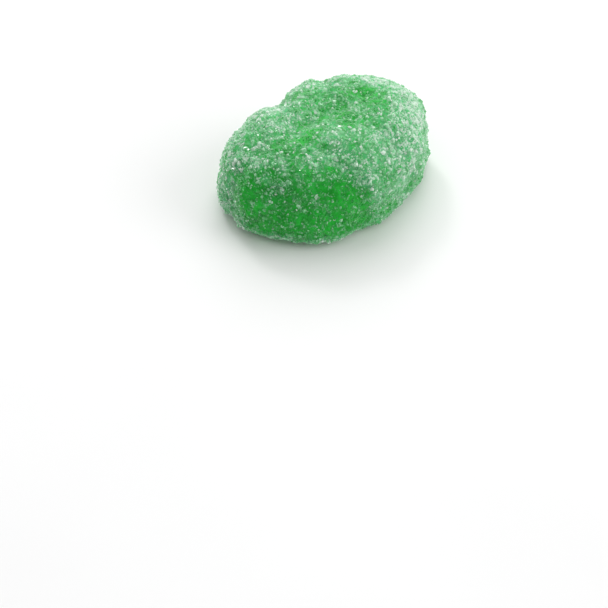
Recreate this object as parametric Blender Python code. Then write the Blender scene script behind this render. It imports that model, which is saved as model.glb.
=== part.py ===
"""A spearmint leaf candy: a plump jelly leaf crusted with sugar, lying on its flat face.

Metres, +Z up. The origin is the middle of the flat face. +X points to the leaf's tip.
The jelly is one closed form, and the largest sugar grains are joined to it.
"""

import math
import random

import bmesh
import bpy
from mathutils import Euler, Matrix, Vector, noise

OBJECT_NAME = "spearmint_leaf_candy"
LEAF_NODE = "leaf_candy"

# Driving dimensions of the moulded jelly.
LEAF_LENGTH = 0.0343
LEAF_WIDTH = 0.0249
CROWN_RISE = 0.0131  # from the rim, where the leaf is widest, up to the crown
RIM_DROP = 0.0024  # from the rim down to the untrimmed underside
FLAT_TRIM = 0.0004  # shaved off the underside, which leaves the flat face
CROWN_FULLNESS = 2.95  # 2 is a plain dome, and more gives steeper walls and a flatter top
TIP_FULLNESS = 0.25  # the tip's walls are this much steeper, and the stem end's this much softer
UNDERSIDE_FULLNESS = 2.8

# How the leaf departs from a plain oval.
TAPER = 0.06  # the stem half is wider than the tip half by this share each way
TIP_TAPER = 0.11  # further narrowing towards the tip
TIP_RISE = 0.06  # the crown leans towards the tip by this share
TIP_SWING = 0.0008  # how far the tip bends sideways
STEM_SWING = 0.0012  # how far the stem end bends the same way

# Grooves pressed by the mould: one midrib and two pairs of side veins.
MIDRIB_DEPTH = 0.0005
MIDRIB_REACH = 0.0012  # half width of the groove
VEIN_REACH = 0.0015
VEIN_DEPTH_INNER = 0.0003
VEIN_DEPTH_OUTER = 0.0010
VEIN_DEEPENING = (0.15, 0.8)  # distances from the heart, in leaf coordinates, where they deepen
VEIN_CURVE = 1.2
VEIN_START = 0.12  # share of the half width that a side vein leaves clear of the midrib
# Each side vein: which side it is on, where it meets the rim, how far it slants, and what
# share of the full depth it is pressed in by.
SIDE_VEINS = (
    (-1, -0.0025, 0.0045, 0.85),
    (-1, 0.0070, 0.0059, 0.30),
    (1, -0.0017, 0.0045, 1.0),
    (1, 0.0068, 0.0059, 1.0),
)

# Heights, in leaf coordinates, between which grooves and relief fade out under the rim.
UNDERSIDE_FADE = (-0.95, -0.3)

# Unevenness of the jelly, and the crust of grains too fine to model one by one.
LUMP_HEIGHT = 0.0008
LUMP_SPACING = 0.0060
LUMP_PLACE = Vector((518, 182, 0))  # which stretch of the noise the lumps are read from
CRUST_HEIGHT = 0.00035
CRUST_SPACING = 0.0015

# Sugar grains: squat six-sided crystals, the largest ones only.
GRAIN_COUNT = 170
GRAIN_SMALLEST = 0.00075
GRAIN_LARGEST = 0.0011
GRAIN_GAP = 0.0017  # least distance between the middles of two grains
GRAIN_LOW = 0.0013  # no grain's middle lies closer than this to the flat face
GRAIN_SIDES = 6
# The rest of a grain's measures are shares of its size.
GRAIN_FOOT = 0.50  # radius of its wider end
GRAIN_TOP = 0.38  # radius of its narrower end
GRAIN_DEPTHS = (0.65, 0.9)  # least and greatest depth from end to end
GRAIN_SINK = 0.12  # how far its middle lies under the surface

# The block that shaves the underside off.
CUTTER_DEPTH = 0.01
CUTTER_SPREAD = 2  # how many times the leaf's length and width it covers

JELLY_COLOUR = (0.11, 0.42, 0.16, 1)
JELLY_ROUGHNESS = 0.6
CREASE_ANGLE = math.radians(40)  # edges folded more sharply than this stay crisp

CAGE_CUTS = 21  # cuts along each edge of the cube that is blown up into the leaf
SEED = 26


def clear_scene():
    for item in list(bpy.data.objects):
        bpy.data.objects.remove(item)


def add_collection(name):
    collection = bpy.data.collections.new(name)
    bpy.context.scene.collection.children.link(collection)
    return collection


def sugared_jelly_material():
    material = bpy.data.materials.new("sugared_green_jelly")
    material.use_nodes = True
    shader = material.node_tree.nodes["Principled BSDF"]
    shader.inputs["Base Color"].default_value = JELLY_COLOUR
    shader.inputs["Roughness"].default_value = JELLY_ROUGHNESS
    return material


def smooth_step(value, low, high):
    share = min(max((value - low) / (high - low), 0), 1)
    return share * share * (3 - 2 * share)


def leaf_coordinates(direction):
    """Where a direction from the leaf's heart meets its form, in half lengths, widths and heights."""
    crown_fullness = CROWN_FULLNESS + TIP_FULLNESS * direction.x
    fullness = crown_fullness if direction.z > 0 else UNDERSIDE_FULLNESS
    plan = math.hypot(direction.x, direction.y)
    reach = (plan**fullness + abs(direction.z) ** fullness) ** (-1 / fullness)
    return direction * reach


def smooth_form(place):
    """The point of the ungrooved leaf at a place in leaf coordinates."""
    width = 1 - TAPER * place.x - TIP_TAPER * max(place.x, 0) ** 2
    swing = TIP_SWING if place.x > 0 else STEM_SWING
    rise = CROWN_RISE * (1 + TIP_RISE * place.x) if place.z > 0 else RIM_DROP
    return Vector(
        (
            place.x * LEAF_LENGTH / 2,
            place.y * width * LEAF_WIDTH / 2 + swing * place.x**2,
            place.z * rise + RIM_DROP - FLAT_TRIM,
        )
    )


def groove_depth(place):
    """How deep the midrib and the side veins are pressed in at a place on the leaf."""
    off_midrib = place.y * LEAF_WIDTH / 2
    depth = MIDRIB_DEPTH * math.exp(-((off_midrib / MIDRIB_REACH) ** 2))
    outward = smooth_step(math.hypot(place.x, place.y), *VEIN_DEEPENING)
    vein_depth = VEIN_DEPTH_INNER + (VEIN_DEPTH_OUTER - VEIN_DEPTH_INNER) * outward
    vein_depth *= smooth_step(abs(place.y), 0, VEIN_START)
    for side, rim_x, slant, share in SIDE_VEINS:
        if place.y * side > 0:
            vein_x = rim_x - slant * (1 - abs(place.y) ** VEIN_CURVE)
            distance = place.x * LEAF_LENGTH / 2 - vein_x
            depth += share * vein_depth * math.exp(-((distance / VEIN_REACH) ** 2))
    return depth


def crust_relief(point):
    lumps = LUMP_HEIGHT * noise.noise(point / LUMP_SPACING + LUMP_PLACE)
    crust = CRUST_HEIGHT * noise.noise(point / CRUST_SPACING)
    return lumps + crust


def build_jelly():
    """A cube, finely cut and blown up into the leaf, with its grooves and crust."""
    mesh = bmesh.new()
    bmesh.ops.create_cube(mesh, size=2)
    bmesh.ops.subdivide_edges(mesh, edges=mesh.edges[:], cuts=CAGE_CUTS, use_grid_fill=True)
    places = {}
    for vertex in mesh.verts:
        spread = Vector(math.tan(part * math.pi / 4) for part in vertex.co)
        places[vertex] = leaf_coordinates(spread.normalized())
        vertex.co = smooth_form(places[vertex])
    mesh.normal_update()
    normals = {vertex: vertex.normal.copy() for vertex in mesh.verts}
    for vertex in mesh.verts:
        height = crust_relief(vertex.co) - groove_depth(places[vertex])
        height *= smooth_step(places[vertex].z, *UNDERSIDE_FADE)
        vertex.co += normals[vertex] * height
    mesh.normal_update()
    return mesh


def even_spots(mesh, draw):
    """Spots spread evenly over the crown and walls, each with the surface's normal there."""
    faces = [face for face in mesh.faces if face.calc_center_median().z > GRAIN_LOW]
    areas = [face.calc_area() for face in faces]
    spots = []
    while len(spots) < GRAIN_COUNT:
        face = draw.choices(faces, weights=areas)[0]
        middle = face.calc_center_median()
        if all((middle - other).length > GRAIN_GAP for other, _ in spots):
            spots.append((middle, face.normal.copy()))
    return spots


def add_grain(collection, spot, normal, draw):
    """One squat crystal at a random turn, sunk a little into the jelly."""
    size = draw.uniform(GRAIN_SMALLEST, GRAIN_LARGEST)
    mesh = bmesh.new()
    bmesh.ops.create_cone(
        mesh,
        cap_ends=True,
        segments=GRAIN_SIDES,
        radius1=size * GRAIN_FOOT,
        radius2=size * GRAIN_TOP,
        depth=size * draw.uniform(*GRAIN_DEPTHS),
    )
    turn = Euler([draw.uniform(0, 2 * math.pi) for _ in range(3)]).to_matrix().to_4x4()
    middle = spot - normal * size * GRAIN_SINK
    mesh.transform(Matrix.Translation(middle) @ turn)
    data = bpy.data.meshes.new("sugar_grain")
    mesh.to_mesh(data)
    mesh.free()
    collection.objects.link(bpy.data.objects.new("sugar_grain", data))


def join_grains(leaf, grains):
    """Joins the grains to the jelly with one union, then removes the loose ones.

    Where grains meet edge to edge, the exact solver leaves them touching along a line,
    so the union uses the manifold solver.
    """
    union = leaf.modifiers.new("join_grains", "BOOLEAN")
    union.operation = "UNION"
    union.operand_type = "COLLECTION"
    union.collection = grains
    union.solver = "MANIFOLD"
    bpy.context.view_layer.objects.active = leaf
    bpy.ops.object.modifier_apply(modifier=union.name)
    for grain in list(grains.objects):
        bpy.data.objects.remove(grain)
    bpy.data.collections.remove(grains)


def trim_flat(leaf, cutters):
    """Shaves the underside off at z = 0, so that the leaf lies on a true flat face."""
    bpy.ops.mesh.primitive_cube_add(size=1, location=(0, 0, -CUTTER_DEPTH / 2))
    block = bpy.context.active_object
    block.name = "flat_cutter"
    block.scale = (LEAF_LENGTH * CUTTER_SPREAD, LEAF_WIDTH * CUTTER_SPREAD, CUTTER_DEPTH)
    block.hide_render = True
    block.display_type = "WIRE"
    for collection in list(block.users_collection):
        collection.objects.unlink(block)
    cutters.objects.link(block)
    trim = leaf.modifiers.new("flat_face", "BOOLEAN")
    trim.operation = "DIFFERENCE"
    trim.object = block
    trim.solver = "EXACT"


def main():
    clear_scene()
    draw = random.Random(SEED)
    parts = add_collection(OBJECT_NAME)
    cutters = add_collection("cutters")
    grains = add_collection("grains")

    jelly = build_jelly()
    for spot, normal in even_spots(jelly, draw):
        add_grain(grains, spot, normal, draw)
    data = bpy.data.meshes.new(LEAF_NODE)
    jelly.to_mesh(data)
    jelly.free()
    data.materials.append(sugared_jelly_material())
    leaf = bpy.data.objects.new(LEAF_NODE, data)
    parts.objects.link(leaf)

    join_grains(leaf, grains)
    trim_flat(leaf, cutters)
    leaf.data.shade_smooth()
    leaf.data.set_sharp_from_angle(angle=CREASE_ANGLE)


main()
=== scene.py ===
"""Looks of a spearmint leaf candy: translucent green jelly under a crust of sugar crystals.

Metres. The origin is the middle of the flat face, +X points to the leaf's tip, +Z is up, and
the candy lies on z = 0. The jelly takes its form from the solid leaf, and every crystal sits
on it.
"""

import math
from typing import NamedTuple

import bmesh
import bpy
import numpy as np
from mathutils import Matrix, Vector, noise


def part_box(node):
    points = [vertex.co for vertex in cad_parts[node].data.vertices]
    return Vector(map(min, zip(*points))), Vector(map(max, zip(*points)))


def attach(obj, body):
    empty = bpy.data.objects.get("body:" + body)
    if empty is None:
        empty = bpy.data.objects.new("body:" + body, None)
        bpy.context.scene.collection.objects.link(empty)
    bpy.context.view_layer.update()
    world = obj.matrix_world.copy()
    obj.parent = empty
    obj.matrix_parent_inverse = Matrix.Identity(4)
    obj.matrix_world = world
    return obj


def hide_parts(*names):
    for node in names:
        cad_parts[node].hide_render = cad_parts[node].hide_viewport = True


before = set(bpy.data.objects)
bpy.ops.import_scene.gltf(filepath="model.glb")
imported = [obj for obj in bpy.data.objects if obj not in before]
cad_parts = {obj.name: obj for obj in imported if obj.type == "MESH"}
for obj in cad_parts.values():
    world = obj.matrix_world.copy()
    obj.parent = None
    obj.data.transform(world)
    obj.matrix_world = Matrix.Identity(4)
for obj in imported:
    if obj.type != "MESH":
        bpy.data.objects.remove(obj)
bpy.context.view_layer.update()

LEAF = "leaf_candy"
JELLY = "leaf_jelly"
BODY = "root"
COVER_VALUES = "sugar_cover"  # how thick sugar lies, kept at the jelly's vertices
TONE_AND_GLINT_VALUES = "grain_tone_and_glint"  # how pale a facet is, with its painted reflection and edge highlight, kept on the crystals' faces

low_corner, high_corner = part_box(LEAF)
LENGTH = high_corner.x - low_corner.x
WIDTH = high_corner.y - low_corner.y
HEIGHT = high_corner.z - low_corner.z

SEED = 7
MILLIMETRE = 0.001


class Unevenness(NamedTuple):
    """Smooth noise: how far it goes each way, and how far apart its bumps are. Each kind starts
    at a place of its own in the noise, so that no two of them rise and fall together."""

    strength: float
    spacing: float
    start: float


START_DIRECTION = (1.0, 0.7, 1.3)  # the way along which the starts lie in the noise

# The jelly's mesh.
CELL = 0.22 * MILLIMETRE
SMOOTHING = 0.5  # share of the way to its neighbours' mean that a vertex moves in one round
SMOOTHING_ROUNDS = 36
JELLY_INSET = 0.14 * MILLIMETRE  # room for the sugar, which reaches out to the leaf's surface

# Relief of the jelly under the sugar.
DIMPLES = Unevenness(0.16 * MILLIMETRE, 1.1 * MILLIMETRE, 0.0)
PEBBLES = Unevenness(0.14 * MILLIMETRE, 0.55 * MILLIMETRE, 5.0)
FLAT_FADE = 0.8 * MILLIMETRE  # height above the flat face over which relief sets in

# Where sugar lies thick or thin. Each spot is a place on the leaf in half lengths, half widths
# and heights, a reach in millimetres, and how much sugar it adds or takes away.
# Some spots thin the sugar to paint shade, or thicken it to paint light, where they are marked
# so.
SUGAR_SPOTS = (
    # bare or thinly sugared
    ((0.50, -0.10, 0.96), 3.2, -0.26),  # crown towards the tip
    ((0.36, 0.06, 0.96), 2.8, -0.24),
    # painted shade: the next two spots thin the sugar to darken the middle of the crown, whose
    # slopes the lamps light strongly
    ((0.05, -0.25, 0.96), 3.5, -0.20),
    ((-0.36, -0.24, 0.91), 3.0, -0.15),  # crown towards the stem end
    ((-0.47, -0.04, 0.89), 2.8, -0.20),
    ((-0.26, -0.81, 0.70), 1.8, -0.20),  # shoulder over the front wall
    ((-0.48, -0.66, 0.74), 2.6, -0.20),
    ((-0.27, -0.92, 0.43), 2.9, -0.60),  # groove of the front wall
    ((-0.28, -0.83, 0.65), 2.6, -0.22),
    ((-0.32, -0.94, 0.26), 3.0, -0.80),
    ((-0.60, -0.70, 0.50), 4.5, -0.10),  # front wall towards the stem end
    ((-0.40, -0.85, 0.35), 4.0, -0.18),
    ((-0.93, -0.11, 0.58), 2.2, -0.40),  # stem end
    ((-0.86, -0.33, 0.50), 2.5, -0.30),
    ((-0.95, -0.26, 0.30), 2.0, -0.20),
    # painted shade: less sugar darkens the edge of the tip, where the side lamp falls
    ((0.75, -0.50, 0.56), 2.2, -0.25),  # edge of the tip
    # partly thinner sugar, partly painted shade: these spots make the foot of the front wall
    # darker, as if shaded from below
    ((0.00, -0.94, 0.15), 3.5, -0.30),  # foot of the front wall
    ((-0.50, -0.85, 0.15), 4.0, -0.50),
    ((-0.68, -0.66, 0.28), 3.5, -0.28),
    ((-0.90, -0.40, 0.15), 4.5, -0.55),
    # thickly sugared
    ((0.28, 0.45, 0.94), 2.6, 0.35),  # far edge of the crown
    ((0.60, 0.20, 0.90), 3.0, 0.55),
    ((-0.22, 0.55, 0.90), 2.5, 0.45),
    ((-0.45, 0.45, 0.88), 4.0, 0.25),
    ((-0.75, 0.45, 0.75), 3.5, 0.10),
    ((-0.61, -0.29, 0.85), 1.8, 0.22),  # crown towards the stem end
    ((0.80, -0.25, 0.80), 4.0, 0.40),  # tip
    ((0.74, -0.08, 0.91), 2.0, 0.25),
    ((0.60, -0.65, 0.60), 4.5, 0.31),
    ((0.15, -0.83, 0.73), 2.4, 0.18),  # shoulder over the front wall
    # painted light: more and paler sugar lightens the flank of the groove below, which lies in
    # shade
    ((-0.10, -0.88, 0.70), 2.2, 0.30),
    ((-0.02, -0.96, 0.40), 1.8, 0.25),  # front wall
    ((0.42, -0.70, 0.78), 3.0, 0.25),  # near edge of the crown
    ((0.22, -0.54, 0.91), 3.0, 0.20),
    ((-0.36, -0.58, 0.86), 2.2, 0.20),
    ((0.70, -0.30, 0.85), 3.0, 0.25),  # crown beside the tip
    ((-0.97, 0.24, 0.36), 3.0, 0.26),  # corner of the stem end
)
COVER_MEAN = 0.50
COVER_PATCHES = Unevenness(0.28, 4.2 * MILLIMETRE, 3.1)
COVER_CLUMPS = Unevenness(0.35, 1.3 * MILLIMETRE, 8.4)
COVER_LEAST = 0.05
FOOT_COVER = 0.54  # least mean cover of the crust that gathers along the foot
FOOT_HEIGHT = 1.7 * MILLIMETRE
FOOT_REACH = 0.9 * MILLIMETRE

# The flat face has less sugar. A triangle belongs to it if it faces down and lies low.
FLAT_FACE_SUGAR = 0.3  # share of the sugar that lies there, as thick as elsewhere at 1
FLAT_FACE_NORMAL = -0.9
FLAT_FACE_TOP = 1.5 * JELLY_INSET
SMALLEST_AREA = 1e-15  # keeps the normal of an empty triangle from being divided by nothing

# Forms of a crystal, each about as large as one unit.
# Blocks: size, stretch of the three sides, and how far the edges are bevelled.
BLOCKS = {
    "bevelled_block": (1.0, (1.0, 0.85, 0.78), 0.20),
    "plain_block": (0.82, (1.1, 0.9, 0.8), 0.0),
}
# Columns: number of sides, radius at the foot, radius at the top, and depth.
COLUMNS = {
    "six_sided_prism": (6, 0.55, 0.42, 0.8),
    "four_sided_point": (4, 0.62, 0.0, 0.9),
}
NARROW_FACET = 0.4  # a facet is narrow if its area is under this share of the broadest one's


class SugarKind(NamedTuple):
    """Crystals of one form, as one piece."""

    name: str
    form: str
    count: int
    smallest: float  # in millimetres
    largest: float
    proud: float  # how far their middles stand off the jelly, as a share of their size
    paler: float  # how much paler they are than the other kinds
    differing: float  # how much paler than the rest of its kind the palest crystal may be
    cover_power: float  # the higher, the more they keep to where sugar lies thick


SUGAR_KINDS = (
    SugarKind("sugar_large", "bevelled_block", 3000, 0.36, 0.88, -0.30, 0.06, 0.85, 0.5),
    SugarKind("sugar_medium", "six_sided_prism", 8500, 0.27, 0.48, -0.18, -0.02, 0.60, 0.3),
    SugarKind("sugar_small", "plain_block", 9000, 0.19, 0.33, -0.04, 0.02, 0.30, 0.2),
    SugarKind("sugar_fine", "four_sided_point", 12000, 0.10, 0.19, 0.08, 0.04, 0.30, 0.2),
)
SIZE_RARITY = 2.2  # the higher, the fewer large crystals there are
STRETCH_SPREAD = 0.8  # how far apart the longest and the shortest stretch of a side are

# How pale a crystal is, from 0, as green as the jelly, to 1, white.
TONE_BASE = -0.09
TONE_BY_COVER = 0.82
TONE_RARITY = 4.0  # the higher, the fewer pale crystals there are
TONE_CLUMPS = Unevenness(0.42, 0.8 * MILLIMETRE, 2.3)
PAINTED_FACET_REFLECTION = 0.10  # painted reflection: how far one facet may be paler or greener than its crystal, at random, as if it caught the white surroundings or showed the jelly
PAINTED_EDGE_HIGHLIGHT = 0.30  # painted highlight: how much paler a crystal's narrow facets are than its broad ones, standing in for light bent at its edges

# The jelly's colours, and how light spreads in it and off it.
DEEP_JELLY = (0.006, 0.36, 0.020)
LIGHT_JELLY = (0.016, 0.50, 0.040)
DEPTH_SPACING = 3.5 * MILLIMETRE
DEPTH_RANGE = (0.35, 0.65)  # where the noise passes from deep to light jelly
FROST = (0.10, 0.50, 0.18)  # jelly under sugar too fine to be shown as crystals
SPECKLE_SPACING = 0.32 * MILLIMETRE
SPECKLE_DETAIL = 3.0
DUSTING_RANGE = (0.55, 1.35)  # sum of cover and speckle, from clean jelly to full frost
CLEAN_ROUGHNESS = 0.32
FROST_ROUGHNESS = 0.7
SPECKLE_HEIGHT = 0.10 * MILLIMETRE
SPECKLE_STRENGTH = 0.8
JELLY_SURFACE = {
    "Subsurface Weight": 1.0,
    "Subsurface Radius": (0.12, 1.0, 0.18),
    "Subsurface Scale": 2.5 * MILLIMETRE,
    "Specular IOR Level": 0.1,
    "Sheen Weight": 0.5,
    "Sheen Roughness": 0.4,
    "Sheen Tint": (0.85, 1.0, 0.87, 1),
}

# The crystals' colours from green to white, and how light spreads in them and off them.
CLEAR_GRAIN = (0.016, 0.33, 0.040)
PALE_GRAIN = (0.21, 0.58, 0.28)
WHITE_GRAIN = (0.62, 0.79, 0.65)
GRAIN_SURFACE = {
    "Roughness": 0.15,
    "IOR": 1.54,
    "Subsurface Weight": 1.0,
    "Subsurface Radius": (1.0, 1.0, 1.0),
    "Subsurface Scale": 0.4 * MILLIMETRE,
}

# The surroundings: a pale floor, white light from all round, and soft round lamps.
FLOOR_REACH = 3.0
FLOOR_TINT_SPACING = 60 * MILLIMETRE
FLOOR_TINT_RANGE = (0.3, 0.7)  # where the noise passes from the darker grey to the lighter one
FLOOR_GREYS = (0.86, 0.89)
FLOOR_ROUGHNESS = 0.6
WORLD_STRENGTH = 0.58
# Each lamp: its name, its place, its breadth and its power.
LAMPS = (
    ("overhead", (0.36, 0.50, 0.73), 1.0, 4.8),
    ("glint", (0.10, 0.62, 0.62), 0.16, 1.0),
    ("side", (0.50, -0.48, 0.42), 0.6, 2.4),
)

# The view: the camera's bearing from the leaf's -Y side, its elevation and distance, which way
# it is aimed, its lens in millimetres, and how near to it things are still shown.
VIEW_BEARING = -35.8
VIEW_ELEVATION = 41.0
VIEW_DISTANCE = 0.300
AIM_BEARING = -34.87
AIM_ELEVATION = 44.64
LENS = 118.4
NEAREST_SEEN = 0.01
LEAF_HEART = Vector((0, 0, 0.002))  # what the bearing, elevation and distance are taken from


def add_object(name, data):
    item = bpy.data.objects.new(name, data)
    bpy.context.scene.collection.objects.link(item)
    return item


def vertex_array(mesh, what="co"):
    values = np.zeros(len(mesh.vertices) * 3)
    mesh.vertices.foreach_get(what, values)
    return values.reshape(-1, 3)


def add_values(mesh, name, values, domain="POINT"):
    attribute = mesh.attributes.new(name, "FLOAT", domain)
    attribute.data.foreach_set("value", values.astype(np.float32))


def smooth_step(values, low, high):
    share = np.clip((values - low) / (high - low), 0, 1)
    return share * share * (3 - 2 * share)


def unevenness_at(places, kind):
    """Smooth noise, read at each place."""
    start = Vector([kind.start * part for part in START_DIRECTION])
    values = [noise.noise(Vector(place / kind.spacing) + start) for place in places]
    return kind.strength * np.array(values)


# ---------------------------------------------------------------- the jelly


def softened_leaf():
    """The solid leaf in an even mesh, with the facets of its joined grains softened away."""
    piece = add_object(JELLY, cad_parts[LEAF].data.copy())
    remesh = piece.modifiers.new("even_cells", "REMESH")
    remesh.mode = "VOXEL"
    remesh.voxel_size = CELL
    soften = piece.modifiers.new("soften", "SMOOTH")
    soften.factor = SMOOTHING
    soften.iterations = SMOOTHING_ROUNDS
    depsgraph = bpy.context.evaluated_depsgraph_get()
    mesh = bpy.data.meshes.new_from_object(piece.evaluated_get(depsgraph))
    piece.modifiers.clear()
    piece.data = mesh
    mesh.name = JELLY
    return piece


def sugar_cover(places):
    """How thick the sugar lies at each place, from 0 to 1, thinned in places to paint shade and
    thickened in one to paint light.
    """
    middle = np.array((low_corner + high_corner) / 2)
    halves = np.array((LENGTH / 2, WIDTH / 2, HEIGHT))
    cover = np.full(len(places), COVER_MEAN)
    cover += unevenness_at(places, COVER_PATCHES)
    clumps = unevenness_at(places, COVER_CLUMPS)
    cover += clumps
    for spot, reach, change in SUGAR_SPOTS:
        centre = np.array(spot) * halves + np.array((middle[0], middle[1], 0))
        distance = np.linalg.norm(places - centre, axis=1)
        cover += change * np.exp(-((distance / (reach * MILLIMETRE)) ** 2))
    above_foot = (places[:, 2] - FOOT_HEIGHT) / FOOT_REACH
    cover = np.maximum(cover, FOOT_COVER * np.exp(-(above_foot**2)) + clumps)
    return np.clip(cover, COVER_LEAST, 1)


def build_jelly():
    """The softened leaf, a little smaller and with its relief, and its cover of sugar."""
    piece = softened_leaf()
    mesh = piece.data
    places = vertex_array(mesh)
    normals = vertex_array(mesh, "normal")
    relief = unevenness_at(places, DIMPLES)
    relief += unevenness_at(places, PEBBLES)
    relief -= JELLY_INSET
    relief *= smooth_step(places[:, 2], 0, FLAT_FADE)
    places += normals * relief[:, None]
    places[:, 2] = np.maximum(places[:, 2], JELLY_INSET)
    mesh.vertices.foreach_set("co", places.ravel())
    mesh.update()
    mesh.shade_smooth()
    add_values(mesh, COVER_VALUES, sugar_cover(places))
    return piece


# ---------------------------------------------------------------- the sugar


def crystal_form(form):
    """Corners and faces of one crystal of about unit size, and which faces are narrow facets."""
    shape = bmesh.new()
    bevel = 0
    if form in BLOCKS:
        size, sides, bevel = BLOCKS[form]
        bmesh.ops.create_cube(shape, size=size)
        bmesh.ops.scale(shape, vec=sides, verts=shape.verts)
    else:
        sides, foot, top, depth = COLUMNS[form]
        bmesh.ops.create_cone(
            shape, cap_ends=True, segments=sides, radius1=foot, radius2=top, depth=depth
        )
    if bevel:
        edges = shape.edges[:]
        bmesh.ops.bevel(shape, geom=edges, offset=bevel, segments=1, affect="EDGES")
    broadest = max(face.calc_area() for face in shape.faces)
    for face in shape.faces:
        face.material_index = int(face.calc_area() < NARROW_FACET * broadest)
    bmesh.ops.triangulate(shape, faces=shape.faces[:])
    shape.verts.index_update()
    facets = shape.faces[:]
    if bevel:  # a bevel leaves the facets in an order that changes from run to run
        facets.sort(key=lambda facet: sorted(vertex.index for vertex in facet.verts))
    corners = np.array([vertex.co for vertex in shape.verts])
    faces = np.array([[vertex.index for vertex in facet.verts] for facet in facets])
    narrow = np.array([facet.material_index for facet in facets])
    shape.free()
    return corners, faces, narrow


def random_turns(draw, count):
    """Rotation matrices spread evenly over all turns."""
    quaternion = draw.normal(size=(count, 4))
    quaternion /= np.linalg.norm(quaternion, axis=1)[:, None]
    w, x, y, z = quaternion.T
    rows = [
        [1 - 2 * (y * y + z * z), 2 * (x * y - z * w), 2 * (x * z + y * w)],
        [2 * (x * y + z * w), 1 - 2 * (x * x + z * z), 2 * (y * z - x * w)],
        [2 * (x * z - y * w), 2 * (y * z + x * w), 1 - 2 * (x * x + y * y)],
    ]
    return np.moveaxis(np.array(rows), -1, 0)


def crystal_spots(jelly, draw, count, cover_power):
    """Spots on the jelly, thicker where its sugar cover is, with the surface's normal there
    and the cover."""
    mesh = jelly.data
    mesh.calc_loop_triangles()
    corners = np.zeros(len(mesh.loop_triangles) * 3, int)
    mesh.loop_triangles.foreach_get("vertices", corners)
    corners = corners.reshape(-1, 3)
    places = vertex_array(mesh)
    cover = np.zeros(len(mesh.vertices))
    mesh.attributes[COVER_VALUES].data.foreach_get("value", cover)
    a, b, c = (places[corners[:, side]] for side in range(3))
    cross = np.cross(b - a, c - a)
    area = np.linalg.norm(cross, axis=1)
    normals = cross / np.maximum(area, SMALLEST_AREA)[:, None]
    weight = area * cover[corners].mean(axis=1) ** cover_power
    on_flat = (normals[:, 2] < FLAT_FACE_NORMAL) & (a[:, 2] < FLAT_FACE_TOP)
    weight[on_flat] *= FLAT_FACE_SUGAR
    chosen = draw.choice(len(weight), size=count, p=weight / weight.sum())
    u = draw.random(count)
    v = draw.random(count)
    over = u + v > 1
    u[over] = 1 - u[over]
    v[over] = 1 - v[over]
    spots = a[chosen] + u[:, None] * (b - a)[chosen] + v[:, None] * (c - a)[chosen]
    return spots, normals[chosen], cover[corners[chosen, 0]]


def scatter_sugar(kind, jelly, seed):
    """One piece of crystals of one kind, each with a size, a turn and a tone of its own."""
    count = kind.count
    smallest = kind.smallest * MILLIMETRE
    largest = kind.largest * MILLIMETRE
    draw = np.random.default_rng(seed)
    spots, normals, cover = crystal_spots(jelly, draw, count, kind.cover_power)
    sizes = smallest + (largest - smallest) * draw.random(count) ** SIZE_RARITY
    middles = spots + normals * (sizes * kind.proud)[:, None]
    corners, faces, narrow = crystal_form(kind.form)
    stretch = 1 + STRETCH_SPREAD * (draw.random((count, 1, 3)) - 0.5)
    shaped = corners[None] * stretch * sizes[:, None, None]
    turned = np.einsum("nij,nkj->nki", random_turns(draw, count), shaped)
    lowest = turned[:, :, 2].min(axis=1) + middles[:, 2]
    middles[:, 2] += np.maximum(0, -lowest)
    placed = (turned + middles[:, None]).reshape(-1, 3)
    joined = (faces[None] + (np.arange(count) * len(corners))[:, None, None]).reshape(-1, 3)
    mesh = bpy.data.meshes.new(kind.name)
    mesh.from_pydata(placed.tolist(), [], joined.tolist())
    tones = TONE_BASE + kind.paler + TONE_BY_COVER * cover
    tones += kind.differing * draw.random(count) ** TONE_RARITY
    tones += unevenness_at(spots, TONE_CLUMPS)
    # painted reflections at random, and painted highlights on the narrow facets
    facets = tones[:, None] + PAINTED_FACET_REFLECTION * (2 * draw.random((count, len(faces))) - 1)
    facets += PAINTED_EDGE_HIGHLIGHT * (narrow - narrow.mean())
    add_values(mesh, TONE_AND_GLINT_VALUES, np.clip(facets, 0, 1).ravel(), "FACE")
    return add_object(kind.name, mesh)


# ---------------------------------------------------------------- materials


def grey(value):
    return (value, value, value)


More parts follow.
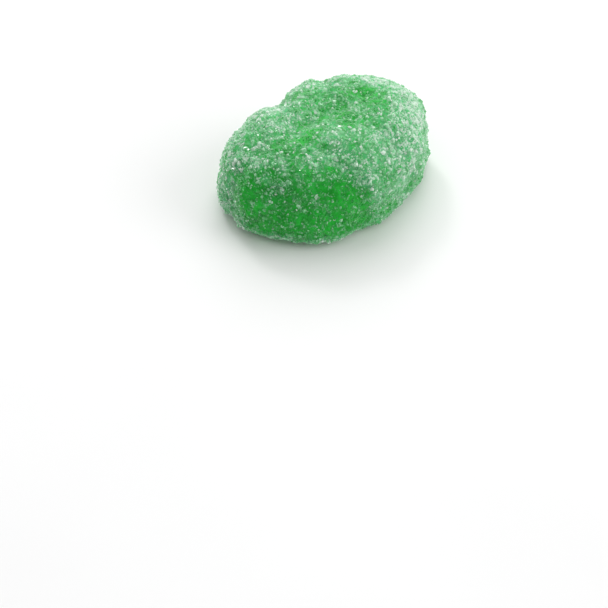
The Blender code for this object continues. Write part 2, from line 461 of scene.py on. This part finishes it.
class Shading:
    """Short ways to add nodes to one material."""

    def __init__(self, name):
        self.material = bpy.data.materials.new(name)
        self.material.use_nodes = True
        self.nodes = self.material.node_tree.nodes
        self.links = self.material.node_tree.links
        self.shader = self.nodes["Principled BSDF"]

    def add(self, kind, **settings):
        node = self.nodes.new(kind)
        for name, value in settings.items():
            setattr(node, name, value)
        return node

    def join(self, output, target):
        self.links.new(output, target)

    def drive(self, name, output):
        """Joins an output to one of the shader's sockets."""
        self.join(output, self.shader.inputs[name])

    def set_surface(self, surface):
        """Sets the shader's sockets to values that are the same all over."""
        for name, value in surface.items():
            self.shader.inputs[name].default_value = value

    def attribute(self, name):
        return self.add("ShaderNodeAttribute", attribute_name=name).outputs["Fac"]

    def noise(self, spacing, detail=2.0):
        """Noise whose bumps are about this far apart."""
        place = self.add("ShaderNodeTexCoord").outputs["Object"]
        pattern = self.add("ShaderNodeTexNoise")
        pattern.inputs["Scale"].default_value = 1 / spacing
        pattern.inputs["Detail"].default_value = detail
        self.join(place, pattern.inputs["Vector"])
        return pattern.outputs["Fac"]

    def ramp(self, value, positions, colours):
        """Colours at positions along a value."""
        node = self.add("ShaderNodeValToRGB")
        points = node.color_ramp.elements
        while len(points) < len(colours):
            points.new(0.5)
        for point, position, colour in zip(points, positions, colours):
            point.position = position
            point.color = (*colour, 1)
        self.join(value, node.inputs["Fac"])
        return node.outputs["Color"]

    def cover_over(self, share, under, colour):
        """A plain colour laid over another, from none of it at 0 to all of it at 1."""
        node = self.add("ShaderNodeMix", data_type="RGBA")
        self.join(share, node.inputs["Factor"])
        self.join(under, node.inputs["A"])
        node.inputs["B"].default_value = (*colour, 1)
        return node.outputs["Result"]

    def sum(self, first, second):
        node = self.add("ShaderNodeMath", operation="ADD")
        self.join(first, node.inputs[0])
        self.join(second, node.inputs[1])
        return node.outputs["Value"]

    def spread(self, value, low, high):
        """A value carried from low..high to 0..1."""
        node = self.add("ShaderNodeMapRange", interpolation_type="SMOOTHSTEP")
        node.inputs["From Min"].default_value = low
        node.inputs["From Max"].default_value = high
        self.join(value, node.inputs["Value"])
        return node.outputs["Result"]

    def bump(self, height, distance, strength):
        """The surface's normal, tilted by a height that runs from 0 to 1."""
        node = self.add("ShaderNodeBump")
        node.inputs["Distance"].default_value = distance
        node.inputs["Strength"].default_value = strength
        self.join(height, node.inputs["Height"])
        return node.outputs["Normal"]


def jelly_material():
    shading = Shading("green_jelly")
    depth = shading.noise(DEPTH_SPACING)
    jelly = shading.ramp(depth, DEPTH_RANGE, (DEEP_JELLY, LIGHT_JELLY))
    cover = shading.attribute(COVER_VALUES)
    speckle = shading.noise(SPECKLE_SPACING, SPECKLE_DETAIL)
    dusting = shading.spread(shading.sum(cover, speckle), *DUSTING_RANGE)
    roughness = shading.ramp(dusting, (0, 1), (grey(CLEAN_ROUGHNESS), grey(FROST_ROUGHNESS)))
    shading.drive("Base Color", shading.cover_over(dusting, jelly, FROST))
    shading.drive("Roughness", roughness)
    shading.drive("Normal", shading.bump(speckle, SPECKLE_HEIGHT, SPECKLE_STRENGTH))
    shading.set_surface(JELLY_SURFACE)
    return shading.material


def sugar_material():
    shading = Shading("sugar_crystal")
    # the tone holds painted reflections and edge highlights as well as each crystal's own
    # paleness
    tone = shading.attribute(TONE_AND_GLINT_VALUES)
    colour = shading.ramp(tone, (0, 0.5, 1), (CLEAR_GRAIN, PALE_GRAIN, WHITE_GRAIN))
    shading.drive("Base Color", colour)
    shading.set_surface(GRAIN_SURFACE)
    return shading.material


def floor_material():
    shading = Shading("pale_floor")
    tint = shading.noise(FLOOR_TINT_SPACING)
    greys = [grey(value) for value in FLOOR_GREYS]
    shading.drive("Base Color", shading.ramp(tint, FLOOR_TINT_RANGE, greys))
    shading.set_surface({"Roughness": FLOOR_ROUGHNESS})
    return shading.material


# ---------------------------------------------------------------- the surroundings


def add_floor():
    mesh = bpy.data.meshes.new("floor")
    turns = ((-1, -1), (1, -1), (1, 1), (-1, 1))
    corners = [(x * FLOOR_REACH, y * FLOOR_REACH, 0) for x, y in turns]
    mesh.from_pydata(corners, [], [(0, 1, 2, 3)])
    mesh.materials.append(floor_material())
    floor = add_object("floor", mesh)


def add_lamp(name, place, breadth, power):
    light = bpy.data.lights.new(name, "AREA")
    light.shape = "DISK"
    light.size = breadth
    light.energy = power
    lamp = add_object(name, light)
    lamp.location = place
    lamp.rotation_euler = (-Vector(place)).to_track_quat("-Z", "Y").to_euler()


def add_world():
    world = bpy.data.worlds.new("studio")
    world.use_nodes = True
    background = world.node_tree.nodes["Background"]
    background.inputs["Color"].default_value = (1, 1, 1, 1)
    background.inputs["Strength"].default_value = WORLD_STRENGTH
    bpy.context.scene.world = world


def add_camera():
    lens = bpy.data.cameras.new("camera")
    lens.lens = LENS
    lens.clip_start = NEAREST_SEEN
    camera = add_object("camera", lens)
    bearing = math.radians(VIEW_BEARING)
    elevation = math.radians(VIEW_ELEVATION)
    toward = Vector((math.sin(bearing), -math.cos(bearing), math.tan(elevation))).normalized()
    camera.location = LEAF_HEART + toward * VIEW_DISTANCE
    camera.rotation_euler = (math.radians(90 - AIM_ELEVATION), 0, math.radians(AIM_BEARING))
    bpy.context.scene.camera = camera


def main():
    bpy.context.scene.view_settings.view_transform = "Standard"
    add_camera()
    add_world()
    for lamp in LAMPS:
        add_lamp(*lamp)
    add_floor()

    jelly = build_jelly()
    jelly.data.materials.clear()
    jelly.data.materials.append(jelly_material())
    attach(jelly, BODY)
    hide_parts(LEAF)

    sugar = sugar_material()
    for number, kind in enumerate(SUGAR_KINDS):
        piece = scatter_sugar(kind, jelly, SEED + number)
        piece.data.materials.append(sugar)
        piece.visible_shadow = False  # light passes through sugar, so it casts no shadow
        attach(piece, BODY)


main()
